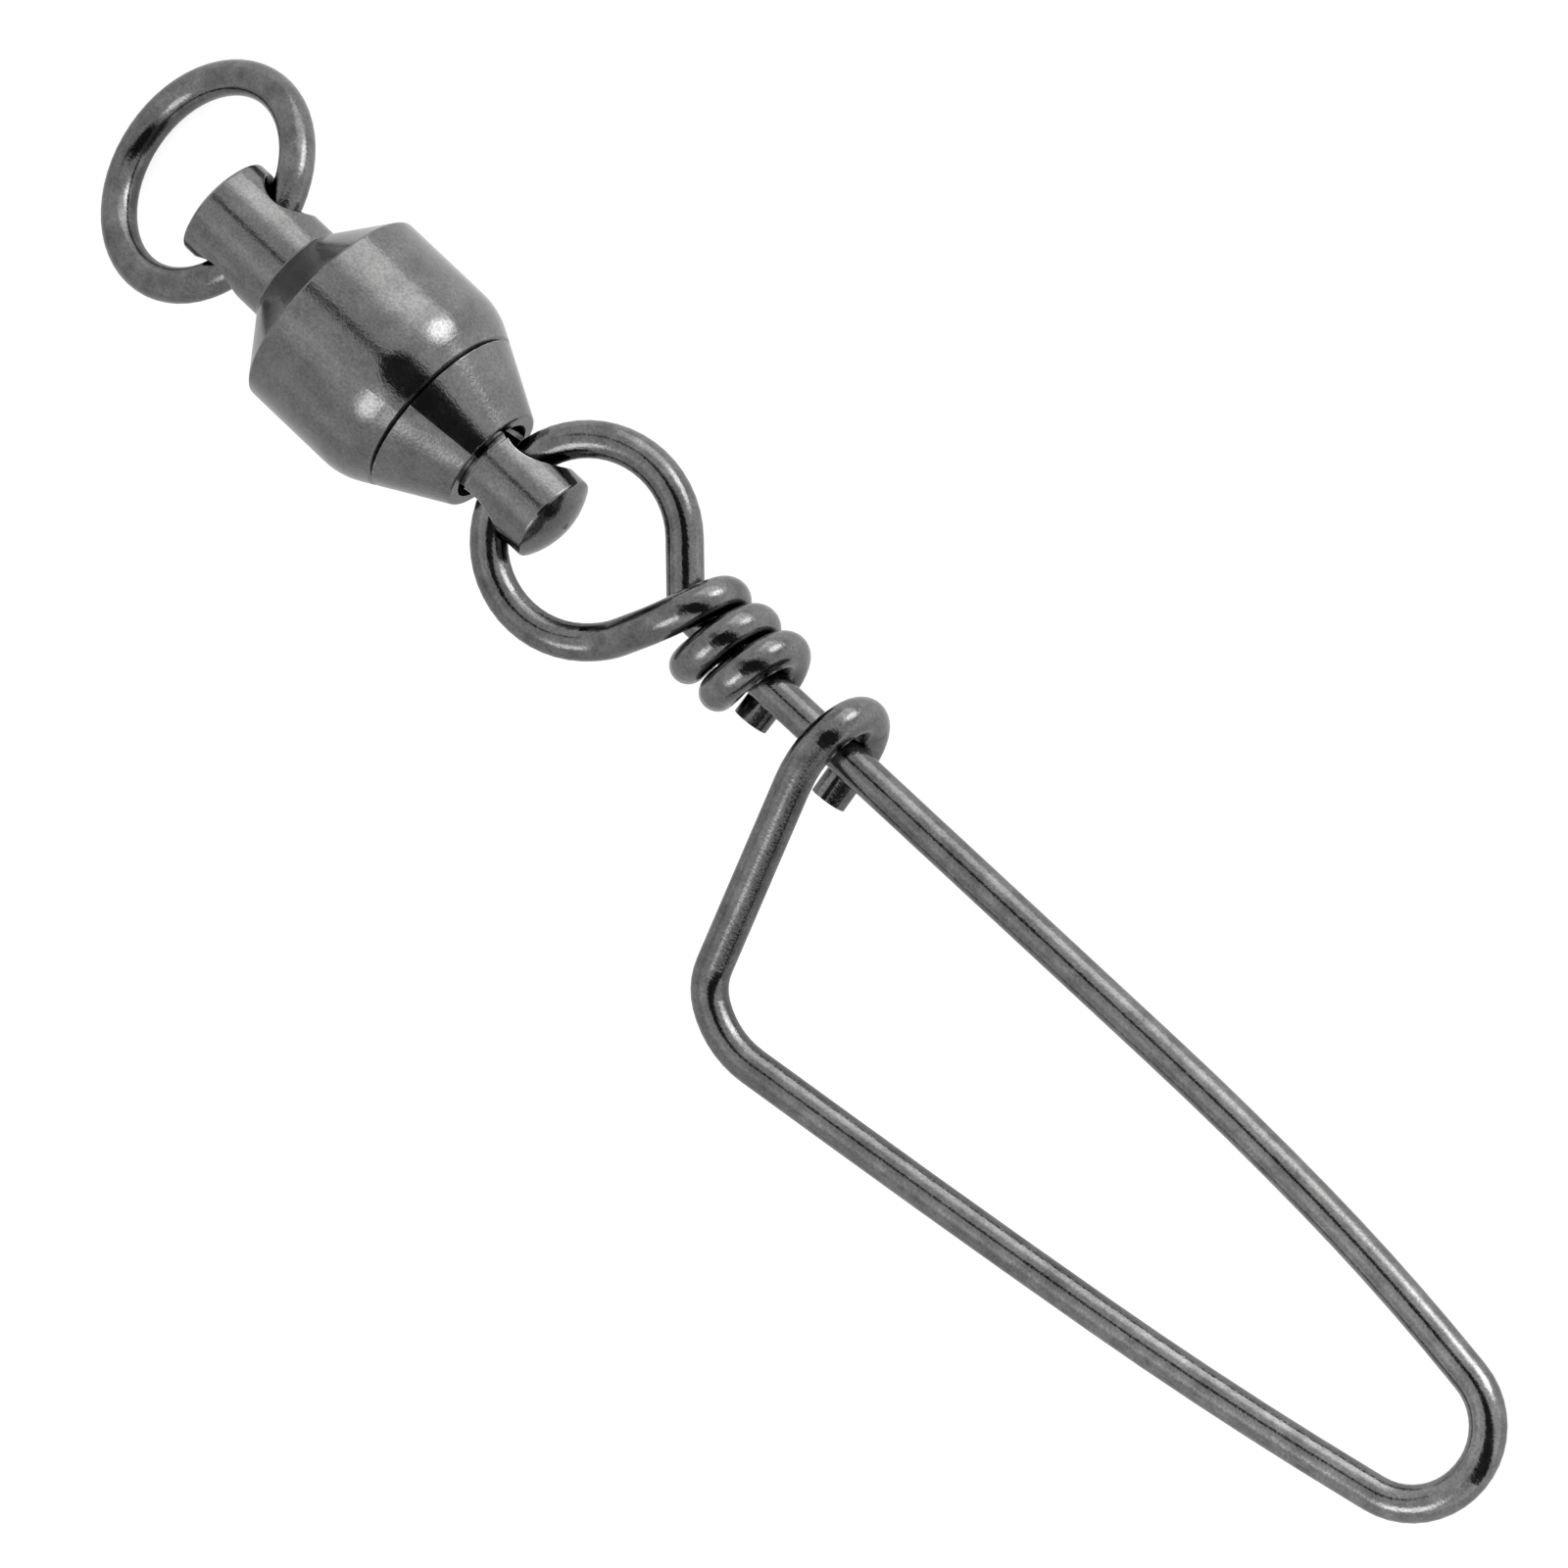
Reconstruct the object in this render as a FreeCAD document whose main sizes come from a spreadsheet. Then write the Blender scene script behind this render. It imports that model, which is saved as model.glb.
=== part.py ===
import FreeCAD, Part
import math
import os
import Sketcher

# Fishing snap swivel: a ball-bearing barrel swivel with a solid ring in one eye
# and a bent-wire coastlock snap in the other. Millimetres, +Z up, lying at rest.
# X runs along the swivel from the ring to the snap, Y along the eye holes.

SIZES = {
    # barrel: its middle, back over the shoulder and neck to the upper eye
    "barrel_radius": 4.2,
    "shoulder_back": 2.94,
    "neck_back": 1.82,
    "ring_hole_back": 2.24,
    "eye_rim_back": 1.66,
    "eye_radius": 2.04,
    "eye_dome": 0.5,
    # barrel: its middle, ahead over the cone to the joint with the end cap
    "cone_start": 1.55,
    "cone_angle": 27.8,
    "joint_ahead": 1.2,
    "joint_wall": 0.53,
    "barrel_blend": 2.8,
    "seam_width": 0.18,
    "seam_depth": 0.14,
    "edge_round": 0.1,
    "closing_angle": 7.5,
    # end cap, from the joint
    "cap_ahead": 2.69,
    "cap_edge_round": 0.16,
    "spigot_length": 0.75,
    "spigot_fit": 0.01,
    # ball race
    "ball_count": 12,
    "ball_gap": 0.04,
    "race_relief": 0.135,
    # lower eye shank, from the face of the end cap
    "head_thick": 1.2,
    "head_gap": 0.05,
    "bore_relief": 0.1,
    "neck_gap": 0.05,
    "neck_ahead": 0.24,
    "neck_step": 0.06,
    "shank_radius": 1.775,
    "link_hole_ahead": 0.81,
    "shank_rim_ahead": 2.41,
    "shank_dome": 0.55,
    # cross holes of the two eyes
    "ring_play": 0.44,
    "link_play": 0.6,
    "link_flare": 0.675,
    "link_flare_angle": 28.0,
    "cut_reach": 0.4,
    "mouth_round": 0.1,
    # ring
    "ring_wire": 1.35,
    "ring_mid_radius": 4.12,
    "running_gap": 0.03,
    # snap wire: the round loop through the lower eye
    "wire": 1.4,
    "loop_radius": 3.685,
    "loop_seat": 0.15,
    "loop_aside": 0.23,
    "loop_open_angle": 310.0,
    "loop_close_angle": 43.0,
    "loop_run": 0.8,
    # snap wire: long leg and the coil about it, from the far side of the loop
    "leg_aside": 0.87,
    "leg_turn_radius": 1.2,
    "coil_ahead": 1.544,
    "coil_gap": 0.03,
    "coil_turn_gap": 0.09,
    "coil_turns": 3,
    "coil_lean": 0.1,
    "coil_entry": 0.9,
    "stub_past": 1.65,
    "stub_lean": 0.16,
    # snap wire: bottom bend, from the far side of the loop, and the bows beside it
    "bend_ahead": 43.21,
    "bend_radius": 2.76,
    "bend_aside": 1.385,
    "bend_flat": 0.05,
    "bend_skew_angle": 1.7,
    "leg_bow_back": 14.7,
    "leg_tip_back": 6.7,
    "leg_tip_aside": 0.43,
    "return_tip_back": 8.33,
    "return_tip_aside": 1.74,
    "return_bow_out": 0.1,
    # snap wire: knee and hook over the long leg, from the far side of the loop
    "knee_ahead": 10.427,
    "knee_aside": 8.68,
    "knee_radius": 2.0,
    "heel_ahead": 1.84,
    "heel_aside": 1.24,
    "hook_ahead": 8.04,
    "hook_gap": 0.18,
    "hook_lean": 0.72,
    "hook_stub_lean": 0.99,
    "hook_stub_past": 1.85,
    # where the part's own origin lies: set from the footprint below
    "frame_x": 0.0,
    "frame_y": 0.0,
}


class Dim:
    """A length or angle that carries its number and its spreadsheet expression."""

    def __init__(self, value, text):
        self.value = value
        self.text = text

    def __add__(self, other):
        return join(self, other, "+", lambda p, q: p + q)

    def __radd__(self, other):
        return join(other, self, "+", lambda p, q: p + q)

    def __sub__(self, other):
        return join(self, other, "-", lambda p, q: p - q)

    def __mul__(self, other):
        return join(self, other, "*", lambda p, q: p * q)

    def __truediv__(self, other):
        return join(self, other, "/", lambda p, q: p / q)

    def __neg__(self):
        return Dim(-self.value, "(-1 * %s)" % self.text)


def dim(item):
    if isinstance(item, Dim):
        return item
    return Dim(item, repr(item))


def join(first, second, sign, work):
    first, second = dim(first), dim(second)
    text = "(%s %s %s)" % (first.text, sign, second.text)
    return Dim(work(first.value, second.value), text)


def tangent(angle):
    return Dim(math.tan(math.radians(angle.value)), "tan(%s * 1deg)" % angle.text)


def sine(angle):
    return Dim(math.sin(math.radians(angle.value)), "sin(%s * 1deg)" % angle.text)


def smaller(first, second):
    return Dim(min(first.value, second.value), "min(%s; %s)" % (first.text, second.text))


class Sizes:
    """Each name in SIZES as an attribute, bound to the sheet's cell."""

    def __getattr__(self, name):
        return Dim(SIZES[name], "Sizes." + name)


d = Sizes()

# Sizes that follow from others.
wire_radius = d.wire / 2
ring_wire_radius = d.ring_wire / 2
cone_slope = tangent(d.cone_angle)
neck_place = -(d.shoulder_back + d.neck_back)
ring_hole_place = neck_place - d.ring_hole_back
eye_rim_place = ring_hole_place - d.eye_rim_back
joint_place = d.cone_start + d.joint_ahead
joint_radius = d.barrel_radius - d.joint_ahead * cone_slope
cap_face = joint_place + d.cap_ahead
cap_end_radius = joint_radius - d.cap_ahead * cone_slope
bore_radius = joint_radius - d.joint_wall
ball_share = sine(dim(180) / d.ball_count)
ball_radius = (ball_share * (bore_radius - d.ball_gap) - d.ball_gap / 2) / (ball_share + 1)
pitch_radius = bore_radius - d.ball_gap - ball_radius
neck_radius = pitch_radius - ball_radius - d.race_relief
head_radius = bore_radius - d.head_gap
cap_bore_radius = neck_radius + d.neck_gap
spigot_back = joint_place - d.spigot_length
ball_ahead = spigot_back - d.ball_gap - ball_radius
head_face = ball_ahead - ball_radius - d.ball_gap
head_back = head_face - d.head_thick
neck_end = cap_face + d.neck_ahead
link_hole_place = cap_face + d.link_hole_ahead
shank_rim_place = link_hole_place + d.shank_rim_ahead
ring_hole_radius = ring_wire_radius + d.ring_play
ring_shift = d.ring_mid_radius - d.ring_play + d.running_gap
link_hole_radius = wire_radius + d.link_play
coil_radius = d.wire + d.coil_gap
coil_pitch = d.wire + d.coil_turn_gap
hook_radius = d.wire + d.hook_gap

doc = FreeCAD.newDocument("snap_swivel")
sheet = doc.addObject("Spreadsheet::Sheet", "Sizes")


def fill_sheet():
    for row, (name, value) in enumerate(SIZES.items(), start=1):
        sheet.set("A%d" % row, name)
        sheet.set("B%d" % row, str(value))
        sheet.setAlias("B%d" % row, name)
    doc.recompute()


def origin_plane(body, role):
    return [item for item in body.Origin.OriginFeatures if item.Role == role][0]


def new_sketch(body, name, role, offset=None):
    """A sketch on one of the body's own planes, moved along X by an offset."""
    sketch = body.newObject("Sketcher::SketchObject", name)
    sketch.AttachmentSupport = [(origin_plane(body, role), "")]
    sketch.MapMode = "FlatFace"
    if offset is not None:
        sketch.setExpression("AttachmentOffset.Base.x", offset.text)
    return sketch


def bind(sketch, kind, geo, pos, size):
    """Hold one point of the sketch at a signed distance from the sketch's origin."""
    index = sketch.addConstraint(Sketcher.Constraint(kind, -1, 1, geo, pos, size.value))
    sketch.setExpression("Constraints[%d]" % index, size.text)


def pin(sketch, geo, pos, corner):
    for kind, size in (("DistanceX", dim(corner[0])), ("DistanceY", dim(corner[1]))):
        if abs(size.value) > 1e-9:
            bind(sketch, kind, geo, pos, size)
        elif kind == "DistanceX":
            sketch.addConstraint(Sketcher.Constraint("PointOnObject", geo, pos, -2))
        else:
            sketch.addConstraint(Sketcher.Constraint("PointOnObject", geo, pos, -1))


def vector(corner):
    return FreeCAD.Vector(dim(corner[0]).value, dim(corner[1]).value, 0)


def closed_outline(sketch, corners, dome=None):
    """Straight edges through the corners; dome names the edge that is an arc centred on X."""
    count = len(corners)
    for index in range(count):
        first = vector(corners[index])
        last = vector(corners[(index + 1) % count])
        if index == dome:
            sketch.addGeometry(dome_arc(first, last), False)
            sketch.addConstraint(Sketcher.Constraint("PointOnObject", index, 3, -1))
        else:
            sketch.addGeometry(Part.LineSegment(first, last), False)
    ends = [arc_ends(index == dome, vector(corners[index]), vector(corners[(index + 1) % count]))
            for index in range(count)]
    for index in range(count):
        after = (index + 1) % count
        sketch.addConstraint(
            Sketcher.Constraint("Coincident", index, ends[index][1], after, ends[after][0]))
        pin(sketch, index, ends[index][0], corners[index])


def dome_arc(first, last):
    """The arc between a rim and an apex on the X axis, drawn counter-clockwise."""
    rim, apex = (first, last) if abs(last.y) < 1e-9 else (last, first)
    rise = abs(apex.x - rim.x)
    radius = (rim.y ** 2 + rise ** 2) / (2 * rise)
    side = 1 if apex.x > rim.x else -1
    centre = FreeCAD.Vector(apex.x - side * radius, 0, 0)
    lean = math.asin(rim.y / radius)
    circle = Part.Circle(centre, FreeCAD.Vector(0, 0, 1), radius)
    if side > 0:
        return Part.ArcOfCircle(circle, 0, lean)
    return Part.ArcOfCircle(circle, math.pi - lean, math.pi)


def arc_ends(is_dome, first, last):
    """Which end of an edge meets the corner before it and the corner after it."""
    if not is_dome:
        return 1, 2
    apex_first = abs(first.y) < 1e-9
    apex_ahead = (first.x > last.x) if apex_first else (last.x > first.x)
    if apex_ahead:
        return (1, 2) if apex_first else (2, 1)
    return (2, 1) if apex_first else (1, 2)


def turned_body(name, corners, dome=None, closing=None):
    """A solid of revolution about the body's X axis; closing turns the line where it closes."""
    body = doc.addObject("PartDesign::Body", name)
    body.Label = name
    sketch = new_sketch(body, name + "_profile", "XZ_Plane")
    if closing is not None:
        turned = FreeCAD.Rotation(FreeCAD.Vector(1, 0, 0), closing.value)
        sketch.AttachmentOffset = FreeCAD.Placement(FreeCAD.Vector(0, 0, 0), turned)
        sketch.setExpression("AttachmentOffset.Rotation.Angle", closing.text)
    closed_outline(sketch, corners, dome)
    turned = body.newObject("PartDesign::Revolution", name + "_turned")
    turned.Profile = sketch
    turned.ReferenceAxis = (sketch, ["H_Axis"])
    turned.Angle = 360
    sketch.Visibility = False
    doc.recompute()
    return body


def round_edges(body, name, radius, chosen):
    """Round every edge of the body that the test picks."""
    base = body.Tip
    edges = ["Edge%d" % (number + 1) for number, edge in enumerate(base.Shape.Edges)
             if not edge.Degenerated and chosen(edge)]
    if not edges:
        raise RuntimeError(name + " finds no edge")
    rounding = body.newObject("PartDesign::Fillet", name)
    rounding.Base = (base, edges)
    rounding.setExpression("Radius", radius.text)
    doc.recompute()


def circle_at(ahead, radius):
    """A test for the circular edge of that radius at that place along X."""
    def chosen(edge):
        curve = edge.Curve
        if not isinstance(curve, Part.Circle):
            return False
        near = abs(curve.Radius - radius.value) < 1e-3
        return near and abs(curve.Center.x - ahead.value) < 1e-3
    return chosen


def cross_hole(body, name, ahead, radius, stud_radius, flare=None, flare_angle=None):
    """A hole along Y through a stud, with mouths that open where it has a flare."""
    sketch = new_sketch(body, name + "_profile", "XY_Plane", ahead)
    reach = stud_radius + d.cut_reach
    corners = [(0, -reach), (radius, -reach), (radius, reach), (0, reach)]
    if flare is not None:
        straight = stud_radius - flare
        mouth = radius + (reach - straight) * tangent(flare_angle)
        corners = [
            (0, -reach), (mouth, -reach), (radius, -straight),
            (radius, straight), (mouth, reach), (0, reach)]
    closed_outline(sketch, corners)
    before = body.Tip.Shape.Volume
    hole = body.newObject("PartDesign::Groove", name)
    hole.Profile = sketch
    hole.ReferenceAxis = (sketch, ["V_Axis"])
    hole.Angle = 360
    sketch.Visibility = False
    doc.recompute()
    if hole.Shape.Volume > before - radius.value ** 2:
        raise RuntimeError(name + " cuts nothing")


def mouth_edges(stud_radius):
    """A test for the edges that a cross hole leaves on the outside of a stud."""
    def chosen(edge):
        if isinstance(edge.Curve, Part.Line):
            return False
        points = edge.discretize(9)
        along = [point.x for point in points]
        off = [abs(math.hypot(point.y, point.z) - stud_radius.value) for point in points]
        return max(off) < 2e-3 and max(along) - min(along) > 0.1
    return chosen


def make_barrel():
    half_seam = d.seam_width / 2
    body = turned_body("barrel", [
        (eye_rim_place - d.eye_dome, 0),
        (eye_rim_place, d.eye_radius),
        (neck_place, d.eye_radius),
        (-d.shoulder_back, d.barrel_radius),
        (d.cone_start, d.barrel_radius),
        (joint_place - half_seam, joint_radius + half_seam * cone_slope),
        (joint_place, joint_radius - d.seam_depth),
        (joint_place, bore_radius),
        (head_back - d.bore_relief, bore_radius),
        (head_back - d.bore_relief, 0)], dome=0, closing=d.closing_angle)
    round_edges(body, "barrel_blend", d.barrel_blend, circle_at(d.cone_start, d.barrel_radius))
    round_edges(body, "shoulder_round", d.edge_round, circle_at(-d.shoulder_back, d.barrel_radius))
    round_edges(body, "neck_round", d.edge_round, circle_at(neck_place, d.eye_radius))
    round_edges(body, "eye_rim_round", d.edge_round, circle_at(eye_rim_place, d.eye_radius))
    cross_hole(body, "ring_hole", ring_hole_place, ring_hole_radius, d.eye_radius)
    round_edges(body, "ring_mouths", d.mouth_round, mouth_edges(d.eye_radius))
    return body


def make_cap():
    half_seam = d.seam_width / 2
    spigot_radius = bore_radius - d.spigot_fit
    body = turned_body("end_cap", [
        (spigot_back, cap_bore_radius),
        (spigot_back, spigot_radius),
        (joint_place, spigot_radius),
        (joint_place, joint_radius - d.seam_depth),
        (joint_place + half_seam, joint_radius - half_seam * cone_slope),
        (cap_face, cap_end_radius),
        (cap_face, cap_bore_radius)])
    rounding = smaller(d.cap_edge_round, (cap_end_radius - cap_bore_radius) / 2)
    round_edges(body, "cap_end_round", rounding, circle_at(cap_face, cap_end_radius))
    return body


def make_shank():
    body = turned_body("shank", [
        (head_back, 0),
        (head_back, head_radius),
        (head_face, head_radius),
        (head_face, neck_radius),
        (neck_end, neck_radius),
        (neck_end + d.neck_step, d.shank_radius),
        (shank_rim_place, d.shank_radius),
        (shank_rim_place + d.shank_dome, 0)], dome=6)
    round_edges(body, "head_round", d.edge_round, circle_at(head_back, head_radius))
    round_edges(body, "shank_rim_round", d.edge_round, circle_at(shank_rim_place, d.shank_radius))
    cross_hole(body, "link_hole", link_hole_place, link_hole_radius, d.shank_radius,
               d.link_flare, d.link_flare_angle)
    return body


def make_ring():
    ring = doc.addObject("Part::Torus", "ring")
    ring.Label = "ring"
    ring.setExpression("Radius1", d.ring_mid_radius.text)
    ring.setExpression("Radius2", ring_wire_radius.text)
    return ring


def make_balls():
    balls = []
    for number in range(int(SIZES["ball_count"])):
        ball = doc.addObject("Part::Sphere", "ball_%02d" % (number + 1))
        ball.Label = "ball_%02d" % (number + 1)
        ball.setExpression("Radius", ball_radius.text)
        balls.append(ball)
    doc.recompute()
    return balls


def loop_middle():
    """Middle of the round loop, seen from the lower eye hole that it passes through."""
    aside = SIZES["loop_aside"]
    reach = SIZES["loop_radius"] + SIZES["loop_seat"]
    return FreeCAD.Vector(math.sqrt(reach ** 2 - aside ** 2), aside, 0)


def loop_far():
    """How far ahead of the eye hole the far side of the loop lies."""
    return loop_middle().x + SIZES["loop_radius"]


def round_the_loop(angle):
    """Directions outward and onward at an angle round the loop."""
    turned = math.radians(angle)
    outward = FreeCAD.Vector(math.cos(turned), math.sin(turned), 0)
    return outward, FreeCAD.Vector(outward.y, -outward.x, 0)


def loop_corners():
    """Corners about the round eye loop, from the run to the coil round to the leg side."""
    radius = SIZES["loop_radius"]
    first, last, count = SIZES["loop_open_angle"], SIZES["loop_close_angle"], 5
    step = (first - last) / count
    reach = radius / math.cos(math.radians(step / 2))
    corners = []
    for index in range(count):
        outward, onward = round_the_loop(first - step * (index + 0.5))
        corners.append((loop_middle() + outward * reach, radius))
    outward, onward = round_the_loop(first)
    lead = loop_middle() + outward * radius - onward * SIZES["loop_run"]
    return [(lead, None)] + corners


def leg_turn_ahead():
    """Where the straight run off the loop meets the line of the long leg."""
    outward, onward = round_the_loop(SIZES["loop_close_angle"])
    leaving = loop_middle() + outward * SIZES["loop_radius"]
    return leaving.x + onward.x * (SIZES["leg_aside"] - leaving.y) / onward.y


def wrap_corner(ahead, turned, radius, lean):
    """A corner of a wrap about the long leg; 90 degrees is in front, 0 on the +Y side."""
    reach = radius / math.cos(math.radians(30))
    angle = math.radians(turned)
    return FreeCAD.Vector(
        ahead + lean * math.cos(angle),
        SIZES["leg_aside"] + reach * math.cos(angle),
        reach * math.sin(angle))


def coil_corners():
    """The coil from its cut stub back to the side that comes from the loop."""
    radius = coil_radius.value
    start = loop_far() + SIZES["coil_ahead"]
    last = -60 - 360 * (SIZES["coil_turns"] - 1)
    corners = []
    for turned in range(last, 61, 60):
        ahead = start - coil_pitch.value * turned / 360
        corners.append((wrap_corner(ahead, turned, radius, SIZES["coil_lean"]), None))
    stub = FreeCAD.Vector(
        corners[0][0].x + SIZES["stub_lean"], SIZES["leg_aside"] - SIZES["stub_past"], -radius)
    entry = wrap_corner(start - SIZES["coil_entry"], 120, radius, 0)
    return [(stub, None)] + corners + [(entry, None)]


def hook_corners():
    """The hook over the long leg, from the arm in front round to the cut stub behind."""
    radius = hook_radius.value
    start = loop_far() + SIZES["hook_ahead"]
    corners = []
    for turned in (120, 60, 0, -60):
        ahead = start + SIZES["hook_lean"] * ((120 - turned) / 180) ** 2
        corners.append((wrap_corner(ahead, turned, radius, 0), None))
    stub = FreeCAD.Vector(
        start + SIZES["hook_stub_lean"], SIZES["leg_aside"] - SIZES["hook_stub_past"], -radius)
    return corners + [(stub, None)]


def bend_spacing(arriving, across, leaving):
    """Distance between the corners of two equal bends, with their short flat between them."""
    turns = (arriving.getAngle(across), across.getAngle(leaving))
    reach = sum(math.tan(turned / 2) for turned in turns)
    return SIZES["bend_radius"] * reach + SIZES["bend_flat"]


def leg_corners():
    """The long leg, the bottom bend, the way back and the knee, in the snap's own plane."""
    leg = SIZES["leg_aside"]
    far = loop_far() + SIZES["bend_ahead"]
    turn_off = FreeCAD.Vector(leg_turn_ahead(), leg, 0)
    leg_bow = FreeCAD.Vector(far - SIZES["leg_bow_back"], leg, 0)
    leg_tip = FreeCAD.Vector(far - SIZES["leg_tip_back"], leg - SIZES["leg_tip_aside"], 0)
    near_bend = FreeCAD.Vector(far, leg - SIZES["bend_aside"], 0)
    skew = math.radians(SIZES["bend_skew_angle"])
    across = FreeCAD.Vector(math.sin(skew), -math.cos(skew), 0)
    going_back = FreeCAD.Vector(-SIZES["return_tip_back"], -SIZES["return_tip_aside"], 0)
    spacing = bend_spacing(near_bend - leg_tip, across, going_back)
    far_bend = near_bend + across * spacing
    return_tip = far_bend + going_back
    knee = FreeCAD.Vector(loop_far() + SIZES["knee_ahead"], -SIZES["knee_aside"], 0)
    heel = knee + FreeCAD.Vector(SIZES["heel_ahead"], -SIZES["heel_aside"], 0)
    return_bow = (return_tip + heel) / 2 - FreeCAD.Vector(0, SIZES["return_bow_out"], 0)
    return [
        (turn_off, SIZES["leg_turn_radius"]), (leg_bow, None), (leg_tip, None),
        (near_bend, SIZES["bend_radius"]), (far_bend, SIZES["bend_radius"]),
        (return_tip, None), (return_bow, None), (heel, None), (knee, SIZES["knee_radius"])]


def snap_corners():
    """Every corner of the snap's centre line with the bend radius there."""
    return coil_corners() + loop_corners() + leg_corners() + hook_corners()


def half_turn(corners, index):
    """Half the angle by which the route turns at a corner."""
    before = corners[index - 1][0] - corners[index][0]
    after = corners[index + 1][0] - corners[index][0]
    return (math.pi - before.getAngle(after)) / 2


def bend_trims(corners):
    """How far each bend reaches along its runs; a radius of None takes all the room left."""
    trims = [0.0] * len(corners)
    inner = range(1, len(corners) - 1)
    for index in inner:
        if corners[index][1] is not None:
            trims[index] = corners[index][1] * math.tan(half_turn(corners, index))
    for index in [index for index in inner if corners[index][1] is None]:
        rooms = []
        for other in (index - 1, index + 1):
            run = (corners[other][0] - corners[index][0]).Length
            shared = corners[other][1] is None and 0 < other < len(corners) - 1
            rooms.append(run / 2 if shared else run - trims[other])
        trims[index] = 0.9999 * min(rooms)
    return trims


def bend_wire(corners, radius):
    """The round wire, drawn out along its runs and turned round at its bends.

    Gives the solid, the length of its centre line and points along that line.
    """
    trims = bend_trims(corners)
    at = corners[0][0]
    along = (corners[1][0] - at).normalize()
    section = Part.makeCircle(radius, at, along)
    skin = [Part.Face(Part.Wire([section]))]
    line = [at]
    length = 0.0
    for index in range(1, len(corners)):
        corner = corners[index][0]
        run = (corner - at).Length - trims[index]
        if run < -1e-3:
            raise RuntimeError("bends overlap before corner %d" % index)
        if run > 1e-3:
            skin.append(section.extrude(along * run))
            section = section.translated(along * run)
            at = at + along * run
            length += run
            line.append(at)
        if index + 1 == len(corners):
            break
        half = half_turn(corners, index)
        leaving = (corners[index + 1][0] - corner).normalize()
        bend = trims[index] / math.tan(half)
        axis = along.cross(leaving).normalize()
        centre = at + axis.cross(along) * bend
        turned = math.degrees(2 * half)
        skin.append(section.revolve(centre, axis, turned))
        section = section.rotated(centre, axis, turned)
        steps = 12
        for step in range(1, steps + 1):
            part_turn = FreeCAD.Rotation(axis, turned * step / steps)
            line.append(centre + part_turn.multVec(at - centre))
        at = line[-1]
        length += math.radians(turned) * bend
        along = leaving
    skin.append(Part.Face(Part.Wire([section])))
    sewn = Part.Compound(skin)
    sewn.sewShape()
    return Part.Solid(sewn.Shells[0]), length, line


def make_snap():
    """One round wire, bent to its outline."""
    solid, length, line = bend_wire(snap_corners(), wire_radius.value)
    expected = math.pi * wire_radius.value ** 2 * length
    if abs(solid.Volume - expected) > 0.01 * expected:
        raise RuntimeError("snap wire volume %.2f, expected %.2f" % (solid.Volume, expected))
    snap = doc.addObject("Part::Feature", "snap_wire")
    snap.Label = "snap_wire"
    snap.Shape = solid
    return snap, line


def snap_rest(points):
    """Dip about the eye hole at which the snap's bottom bend touches the floor.

    The weight lies over the line from the eye to the bend, so the snap stays level sideways.
    """
    drop = SIZES["barrel_radius"] - wire_radius.value
    dips = [math.asin((drop + point.z) / point.x) for point in points if point.x > drop * 4]
    return math.degrees(min(dips))


def ring_rest():
    """Dip about the eye hole at which the ring's far side touches the floor."""
    reach = ring_shift.value + SIZES["ring_mid_radius"]
    return math.degrees(math.asin((SIZES["barrel_radius"] - ring_wire_radius.value) / reach))


def turn(axis, angle):
    return FreeCAD.Rotation(FreeCAD.Vector(*axis), angle)


def bind_base(item, ahead):
    item.setExpression("Placement.Base.x", (d.frame_x + ahead).text)
    item.setExpression("Placement.Base.y", d.frame_y.text)
    item.setExpression("Placement.Base.z", d.barrel_radius.text)


def place_balls(balls):
    for number, ball in enumerate(balls):
        angle = math.radians(360.0 / len(balls) * (number + 0.5))
        ball.setExpression("Placement.Base.x", (d.frame_x + ball_ahead).text)
        ball.setExpression(
            "Placement.Base.y", (d.frame_y + pitch_radius * math.cos(angle)).text)
        ball.setExpression(
            "Placement.Base.z", (d.barrel_radius + pitch_radius * math.sin(angle)).text)


def place_ring(ring):
    dip = ring_rest()
    turned = turn((0, 1, 0), -dip)
    middle = turned.multVec(FreeCAD.Vector(-ring_shift.value, 0, 0))
    ring.Placement = FreeCAD.Placement(FreeCAD.Vector(0, 0, 0), turned)
    ring.setExpression("Placement.Base.x", (d.frame_x + ring_hole_place + middle.x).text)
    ring.setExpression("Placement.Base.y", d.frame_y.text)
    ring.setExpression("Placement.Base.z", (d.barrel_radius + middle.z).text)


def place_snap(snap, line):
    dip = snap_rest(line)
    print("snap dip %.3f" % dip)
    snap.Placement = FreeCAD.Placement(FreeCAD.Vector(0, 0, 0), turn((0, 1, 0), dip))
    bind_base(snap, link_hole_place)


def centre_footprint(pieces):
    """Move the origin below the middle of the whole part, on the floor."""
    box = FreeCAD.BoundBox()
    for piece in pieces:
        box.add(piece.Shape.optimalBoundingBox(False, False))
    rows = list(SIZES)
    sheet.set("B%d" % (rows.index("frame_x") + 1), "%.4f" % -box.Center.x)
    sheet.set("B%d" % (rows.index("frame_y") + 1), "%.4f" % -box.Center.y)
    doc.recompute()
    print("size %.3f x %.3f x %.3f, lowest %.4f, frame %.4f %.4f" % (
        box.XLength, box.YLength, box.ZLength, box.ZMin, -box.Center.x, -box.Center.y))


def check(pieces):
    for item in doc.Objects:
        if "Invalid" in item.State or "Error" in item.State:
            raise RuntimeError("%s failed: %s" % (item.Name, item.State))
    for piece in pieces:
        if piece.Shape.isNull() or not piece.Shape.isValid():
            raise RuntimeError("%s has no valid shape" % piece.Label)
        if len(piece.Shape.Solids) != 1:
            raise RuntimeError("%s is not one solid" % piece.Label)


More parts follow.
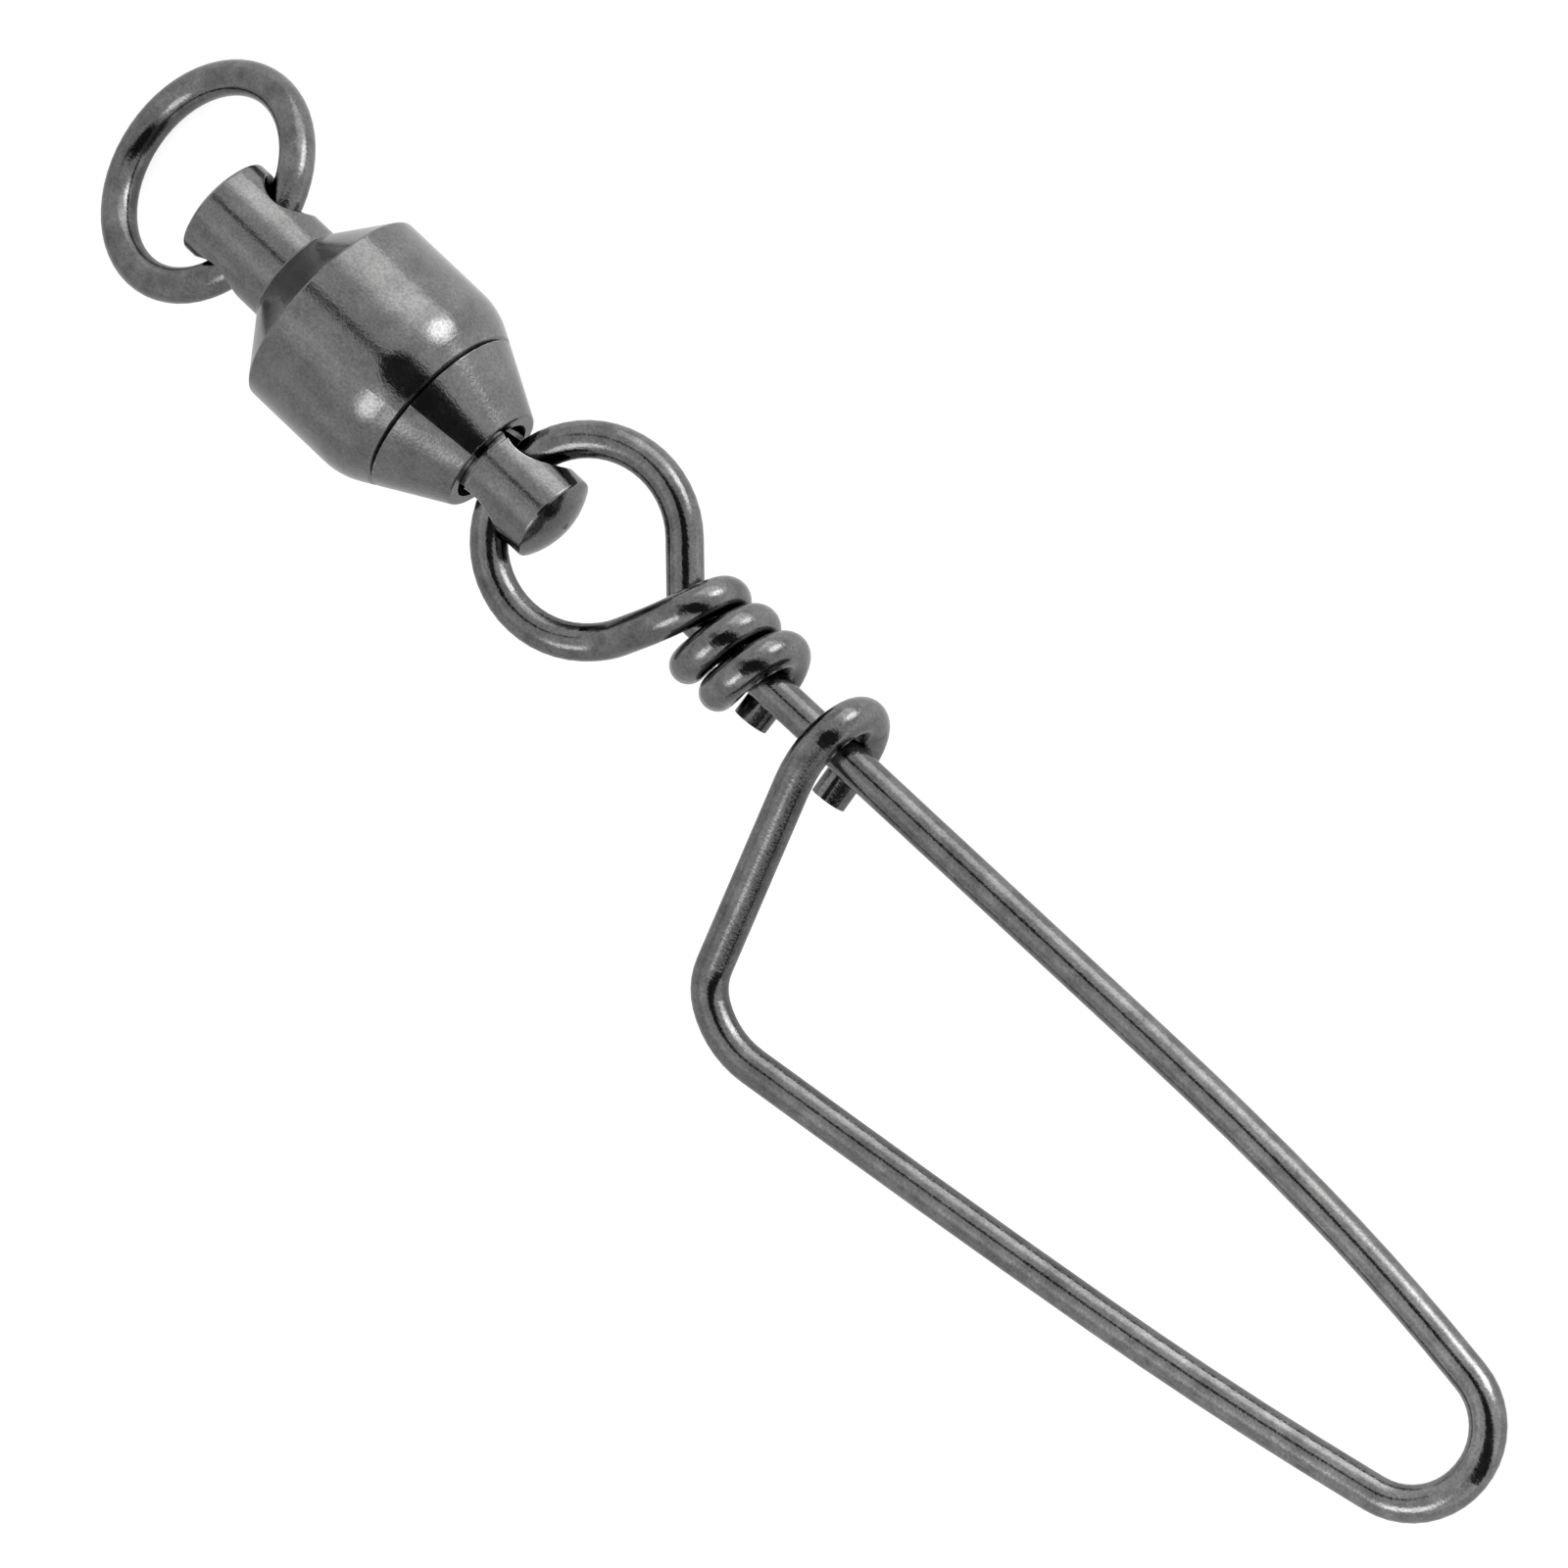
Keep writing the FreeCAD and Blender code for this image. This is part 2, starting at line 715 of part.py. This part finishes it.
def main():
    fill_sheet()
    barrel, cap, shank = make_barrel(), make_cap(), make_shank()
    ring, balls = make_ring(), make_balls()
    snap, line = make_snap()
    for piece in (barrel, cap, shank):
        bind_base(piece, dim(0.0))
    place_balls(balls)
    place_ring(ring)
    place_snap(snap, line)
    doc.recompute()
    pieces = [barrel, cap, ring, shank, snap] + balls
    centre_footprint(pieces)
    check(pieces)
    os.makedirs("parts", exist_ok=True)
    for piece in pieces:
        piece.Shape.exportStep(os.path.join("parts", piece.Label + ".step"))
        print("%-10s %8.3f mm3" % (piece.Label, piece.Shape.Volume))


main()
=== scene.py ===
import math

import bpy
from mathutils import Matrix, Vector


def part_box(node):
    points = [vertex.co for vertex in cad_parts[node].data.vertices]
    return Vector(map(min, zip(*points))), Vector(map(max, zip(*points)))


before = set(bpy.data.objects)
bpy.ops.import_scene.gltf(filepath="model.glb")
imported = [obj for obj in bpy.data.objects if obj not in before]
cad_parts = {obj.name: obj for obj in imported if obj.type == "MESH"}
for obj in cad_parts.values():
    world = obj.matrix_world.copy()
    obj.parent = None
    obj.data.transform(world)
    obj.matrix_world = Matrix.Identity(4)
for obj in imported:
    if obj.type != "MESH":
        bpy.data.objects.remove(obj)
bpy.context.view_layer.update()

# How the object lies: the middle of the shank's cross hole and the snap's dip to the table.
HOLE_AHEAD = 0.0035
barrel_low, barrel_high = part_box("barrel")
LINK_HOLE = Vector((
    barrel_high[0] + HOLE_AHEAD,
    (barrel_low[1] + barrel_high[1]) / 2,
    (barrel_low[2] + barrel_high[2]) / 2))
SNAP_DIP = math.radians(3.951)

# How the photograph looks at the snap's plane.
AXIS_SLOPE = math.radians(12.0)
SIDE_SLOPE = math.radians(9.2)
AXIS_TURN = math.radians(-42.88)
IMAGE_WIDTH = 0.05686
AIM_RIGHT = 0.010043
AIM_DOWN = 0.011188
CAMERA_FAR = 0.70

# The plating: how many spots there are to the metre, and lengths in metres.
SPECKLES_PER_METRE = 9000.0
CLOUDS_PER_METRE = 1100.0
# Spots that break up the painted edge highlights.
HIGHLIGHT_BREAKS_PER_METRE = 2500.0
SPECKLE_HEIGHT = 0.00003
# Reach of the painted seam shade, and radius of the rounded edge that the painted edge highlights
# follow.
SEAM_REACH = 0.00035
EDGE_RADIUS = 0.00009

FLOOR_HALF = 3.0


def view_directions():
    """Towards the camera, the picture's right and up, and along and across the snap in it."""
    along = Vector((math.cos(SNAP_DIP), 0, -math.sin(SNAP_DIP)))
    upward = Vector((math.sin(SNAP_DIP), 0, math.cos(SNAP_DIP)))
    level = math.sin(SIDE_SLOPE) * Vector((0, 1, 0)) + math.cos(SIDE_SLOPE) * upward
    towards = math.sin(AXIS_SLOPE) * along + math.cos(AXIS_SLOPE) * level
    seen = (along - along.dot(towards) * towards).normalized()
    across = towards.cross(seen)
    right = math.cos(AXIS_TURN) * seen - math.sin(AXIS_TURN) * across
    up = math.sin(AXIS_TURN) * seen + math.cos(AXIS_TURN) * across
    return towards, right, up, seen, across


TOWARDS, RIGHT, UP, SEEN, ACROSS = view_directions()


def place_camera():
    """The camera, from far away with a long lens, so that the picture is nearly parallel."""
    data = bpy.data.cameras.new("camera")
    data.lens = data.sensor_width * CAMERA_FAR / IMAGE_WIDTH
    data.clip_start = 0.05
    data.clip_end = 20.0
    camera = bpy.data.objects.new("camera", data)
    bpy.context.scene.collection.objects.link(camera)
    aim = LINK_HOLE + AIM_RIGHT * RIGHT - AIM_DOWN * UP
    turned = camera.matrix_world.to_3x3()
    turned.col[0], turned.col[1], turned.col[2] = RIGHT, UP, TOWARDS
    camera.matrix_world = turned.to_4x4()
    camera.location = aim + CAMERA_FAR * TOWARDS
    bpy.context.scene.camera = camera


def new_tree(name):
    """A material with an empty node tree."""
    material = bpy.data.materials.new(name)
    material.use_nodes = True
    tree = material.node_tree
    tree.nodes.clear()
    return material, tree


def add(tree, kind, **settings):
    node = tree.nodes.new(kind)
    for name, value in settings.items():
        setattr(node, name, value)
    return node


def feed(tree, node, inputs):
    """Set each named or numbered socket to a value, or link it from another socket."""
    for name, value in inputs.items():
        socket = node.inputs[name]
        if isinstance(value, bpy.types.NodeSocket):
            tree.links.new(value, socket)
        else:
            socket.default_value = value
    return node


def calc(tree, operation, first, second=None):
    node = add(tree, "ShaderNodeMath", operation=operation)
    return feed(tree, node, {0: first} if second is None else {0: first, 1: second}).outputs[0]


def plus(tree, first, second):
    return calc(tree, "ADD", first, second)


def minus(tree, first, second):
    return calc(tree, "SUBTRACT", first, second)


def times(tree, *values):
    """The product of all the values."""
    product = values[0]
    for value in values[1:]:
        product = calc(tree, "MULTIPLY", product, value)
    return product


def ease(tree, value, start, end, low=0.0, high=1.0):
    """From low to high, softly, while the value goes from start to end."""
    node = add(tree, "ShaderNodeMapRange", interpolation_type="SMOOTHSTEP")
    feed(tree, node, {"Value": value, "From Min": start, "From Max": end, "To Min": low, "To Max": high})
    return node.outputs["Result"]


def band(tree, value, start, full, fading, end):
    """One between full and fading, nothing before start and after end."""
    return minus(tree, ease(tree, value, start, full), ease(tree, value, fading, end))


def dot(tree, vector, direction):
    node = add(tree, "ShaderNodeVectorMath", operation="DOT_PRODUCT")
    return feed(tree, node, {0: vector, 1: direction}).outputs["Value"]


def new_group(name, inputs, outputs):
    """An empty shader group, with its named sockets and its own in and out nodes."""
    group = bpy.data.node_groups.new(name, "ShaderNodeTree")
    for label, kind in inputs.items():
        group.interface.new_socket(label, in_out="INPUT", socket_type=kind)
    for label, kind in outputs.items():
        group.interface.new_socket(label, in_out="OUTPUT", socket_type=kind)
    return group, add(group, "NodeGroupInput").outputs, add(group, "NodeGroupOutput")


def tint(tree, colour, factor):
    """A colour made lighter or darker by a factor."""
    node = add(tree, "ShaderNodeVectorMath", operation="SCALE")
    return feed(tree, node, {0: colour, "Scale": factor}).outputs[0]


def noise(tree, scale, detail):
    """Noise that is fixed to the piece, with so many spots to the metre."""
    place = add(tree, "ShaderNodeTexCoord").outputs["Object"]
    node = add(tree, "ShaderNodeTexNoise")
    return feed(tree, node, {
        "Vector": place, "Scale": scale, "Detail": detail, "Roughness": 0.6}).outputs["Fac"]


def swing(tree, value, amount):
    """A factor round one, that goes up and down by about the amount as the noise does."""
    return plus(tree, times(tree, minus(tree, value, 0.5), 4.0, amount), 1.0)


def plating_grain():
    """The plating's fine speckle and its soft clouds, in colour, gloss and height."""
    group, given, out = new_group(
        "plating_grain",
        {"Color": "NodeSocketColor", "Roughness": "NodeSocketFloat",
         "Speckle": "NodeSocketFloat", "Clouds": "NodeSocketFloat"},
        {"Color": "NodeSocketColor", "Roughness": "NodeSocketFloat", "Height": "NodeSocketFloat"})
    speckle = noise(group, SPECKLES_PER_METRE, 2.0)
    cloud = noise(group, CLOUDS_PER_METRE, 3.0)
    light = times(group, swing(group, speckle, given["Speckle"]), swing(group, cloud, given["Clouds"]))
    feed(group, out, {
        "Color": tint(group, given["Color"], light),
        "Roughness": times(group, given["Roughness"], swing(group, cloud, 0.25)),
        "Height": speckle})
    return group


def painted_seam_shade_and_edge_highlight():
    """Painted shade in the seams, where two faces or two parts lie close, and painted highlights along
    rounded rims.
    """
    group, given, out = new_group(
        "painted_seam_shade_and_edge_highlight",
        {"Color": "NodeSocketColor", "Seam Shade": "NodeSocketFloat", "Edges": "NodeSocketFloat"},
        {"Color": "NodeSocketColor"})
    # Painted shade: the colour darkens where other faces or other parts are near, in seams, hollows and
    # contacts.
    near = feed(group, add(group, "ShaderNodeAmbientOcclusion", samples=8), {"Distance": SEAM_REACH})
    open_air = ease(group, near.outputs["AO"], 0.25, 0.75)
    shade = plus(group, times(group, minus(group, open_air, 1.0), given["Seam Shade"]), 1.0)
    # Painted highlight: the colour brightens along rounded rims, broken into spots by noise.
    rounded = feed(group, add(group, "ShaderNodeBevel", samples=6), {"Radius": EDGE_RADIUS})
    plain = add(group, "ShaderNodeNewGeometry").outputs["Normal"]
    edge = ease(group, dot(group, rounded.outputs["Normal"], plain), 0.9, 0.99, 1.0, 0.0)
    broken = ease(group, noise(group, HIGHLIGHT_BREAKS_PER_METRE, 2.0), 0.4, 0.6)
    edge_highlight = plus(group, times(group, edge, broken, given["Edges"]), 1.0)
    feed(group, out, {"Color": tint(group, given["Color"], times(group, shade, edge_highlight))})
    return group


def black_nickel(name, groups, tone=0.155, warm=0.004, rough=0.14,
                 speckle=0.26, clouds=0.2, edge_highlight_strength=1.3, far_end_highlight=1.0):
    """Satin black nickel plating: dark grey, clouded, with a fine pebbled grain, painted shade in its
    seams and painted highlights on its rounded rims.
    It can be painted brighter towards the piece's far end, a painted highlight that stands for the
    brighter light there."""
    grain_group, shade_and_highlight_group = groups
    material, tree = new_tree(name)
    colour = (tone * (1 + warm), tone, tone * (1 - warm), 1)
    # Painted highlight: the colour grows brighter towards the far end of the piece, for the brighter
    # light there.
    if far_end_highlight > 1.0:
        place = add(tree, "ShaderNodeTexCoord").outputs["Generated"]
        far = feed(tree, add(tree, "ShaderNodeSeparateXYZ"), {0: place}).outputs["X"]
        colour = tint(tree, colour[:3], ease(tree, far, 0.3, 0.95, 1.0, far_end_highlight))
    grain = feed(tree, add(tree, "ShaderNodeGroup", node_tree=grain_group), {
        "Color": colour, "Roughness": rough, "Speckle": speckle, "Clouds": clouds})
    # Painted seam shade and painted edge highlights are laid over the plating's colour.
    with_painted_light = feed(tree, add(tree, "ShaderNodeGroup", node_tree=shade_and_highlight_group), {
        "Color": grain.outputs["Color"], "Seam Shade": 0.88, "Edges": edge_highlight_strength})
    bump = feed(tree, add(tree, "ShaderNodeBump"), {
        "Strength": 0.22, "Distance": SPECKLE_HEIGHT, "Height": grain.outputs["Height"]})
    shader = feed(tree, add(tree, "ShaderNodeBsdfPrincipled"), {
        "Base Color": with_painted_light.outputs["Color"], "Metallic": 1.0,
        "Roughness": grain.outputs["Roughness"], "Normal": bump.outputs["Normal"]})
    feed(tree, add(tree, "ShaderNodeOutputMaterial"), {"Surface": shader.outputs["BSDF"]})
    return material


def lay_floor():
    """A pale floor that reads as the photograph's white background. In the metal it looks
    brighter on the soft box's side of the object."""
    material, tree = new_tree("pale_floor")
    path = add(tree, "ShaderNodeLightPath").outputs
    place = add(tree, "ShaderNodeNewGeometry").outputs["Position"]
    middle = LINK_HOLE.dot(ACROSS)
    mirrored = ease(tree, dot(tree, place, tuple(ACROSS)), middle - 0.002, middle + 0.012, 0.35, 0.9)
    seen = calc(tree, "MAXIMUM", path["Is Camera Ray"], path["Is Transmission Ray"])
    glow = plus(tree, times(tree, seen, 0.8), times(tree, path["Is Glossy Ray"], mirrored))
    paper = feed(tree, add(tree, "ShaderNodeBsdfDiffuse"), {"Color": (0.5, 0.5, 0.5, 1)})
    light = feed(tree, add(tree, "ShaderNodeEmission"), {"Strength": glow})
    both = feed(tree, add(tree, "ShaderNodeAddShader"), {0: paper.outputs[0], 1: light.outputs[0]})
    feed(tree, add(tree, "ShaderNodeOutputMaterial"), {"Surface": both.outputs[0]})
    mesh = bpy.data.meshes.new("floor")
    corners = [(-1, -1), (1, -1), (1, 1), (-1, 1)]
    mesh.from_pydata([(x * FLOOR_HALF, y * FLOOR_HALF, 0) for x, y in corners], [], [(0, 1, 2, 3)])
    mesh.materials.append(material)
    floor = bpy.data.objects.new("floor", mesh)
    bpy.context.scene.collection.objects.link(floor)


def lamp(tree, way, along, across, outer, power):
    """A round lamp that shines from that way in the picture, brightest in its middle."""
    height = math.sqrt(1 - along ** 2 - across ** 2)
    middle = along * SEEN + across * ACROSS + height * TOWARDS
    disc = ease(tree, dot(tree, way, tuple(middle)), math.cos(math.radians(outer)), 1.0)
    return times(tree, calc(tree, "POWER", disc, 2.0), power)


def hang_light_tent():
    """The light tent round the object: pale walls, a soft box and two lamps, and the dark gap
    where the photographer stands, which runs from behind the camera down the picture."""
    world = bpy.data.worlds.new("light_tent")
    world.use_nodes = True
    bpy.context.scene.world = world
    tree = world.node_tree
    tree.nodes.clear()
    way = add(tree, "ShaderNodeTexCoord").outputs["Generated"]
    across, along, height = [dot(tree, way, tuple(side)) for side in (ACROSS, SEEN, TOWARDS)]
    round_about = calc(tree, "ARCTAN2", across, height)

    walls = ease(tree, across, -0.2, 0.95, 0.98, 1.12)
    shadow = times(tree, band(tree, round_about, -1.75, -1.45, -1.25, -0.95), 0.15)
    sheen = times(tree, band(tree, round_about, -1.15, -0.85, -0.75, -0.45), 0.22)
    box_sides = band(tree, round_about, 0.6, 1.05, 1.35, 2.3)
    box_ends = times(tree, ease(tree, along, -0.75, -0.55), ease(tree, along, 0.05, 0.3, 1.0, 0.0))
    light = plus(tree, minus(tree, walls, shadow), sheen)
    light = plus(tree, light, times(tree, box_sides, box_ends, 1.45))
    light = plus(tree, light, lamp(tree, way, 0.1, 0.88, 22, 4.2))
    light = plus(tree, light, lamp(tree, way, 0.1, -0.70, 22, 3.0))

    # The gap is narrow behind the ring's end and opens towards the bend.
    opening = ease(tree, along, -0.58, 0.0, 0.055, 0.32)
    width = times(tree, opening, ease(tree, along, 0.5, 1.0, 1.0, 0.4))
    aside = calc(tree, "ABSOLUTE", minus(tree, across, 0.02))
    gap = times(
        tree, ease(tree, minus(tree, aside, width), -0.04, 0.04, 1.0, 0.0),
        ease(tree, along, -0.85, -0.65), ease(tree, height, -0.1, 0.1))
    light = times(tree, light, minus(tree, 1.0, times(tree, gap, 0.96)))

    path = add(tree, "ShaderNodeLightPath")
    shine = feed(tree, add(tree, "ShaderNodeMix"), {
        "Factor": path.outputs["Is Glossy Ray"], "A": 0.9, "B": light})
    background = feed(tree, add(tree, "ShaderNodeBackground"), {
        "Color": (1, 1, 1, 1), "Strength": shine.outputs["Result"]})
    feed(tree, add(tree, "ShaderNodeOutputWorld"), {"Surface": background.outputs[0]})


def dress(nodes, material):
    """Give the pieces their finish."""
    for name in nodes:
        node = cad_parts[name]
        node.data.materials.clear()
        node.data.materials.append(material)


def main():
    place_camera()
    lay_floor()
    hang_light_tent()
    groups = plating_grain(), painted_seam_shade_and_edge_highlight()
    dress(["barrel", "end_cap"], black_nickel("barrel_plating", groups))
    dress(["shank"], black_nickel("shank_plating", groups))
    dress(["ring"], black_nickel("ring_plating", groups, tone=0.138, clouds=0.35))
    # The snap wire is painted brighter towards its bottom bend, a painted highlight for the brighter
    # light there, with stronger painted highlights on its rims.
    dress(["snap_wire"], black_nickel(
        "wire_plating", groups, tone=0.142, rough=0.13, clouds=0.35, edge_highlight_strength=1.8, far_end_highlight=1.4))
    dress(["ball_%02d" % number for number in range(1, 13)], black_nickel(
        "ball_steel", groups, tone=0.55, warm=0.0, rough=0.08, speckle=0.0, clouds=0.03, edge_highlight_strength=0.0))
    bpy.context.scene.view_settings.view_transform = "Standard"


main()
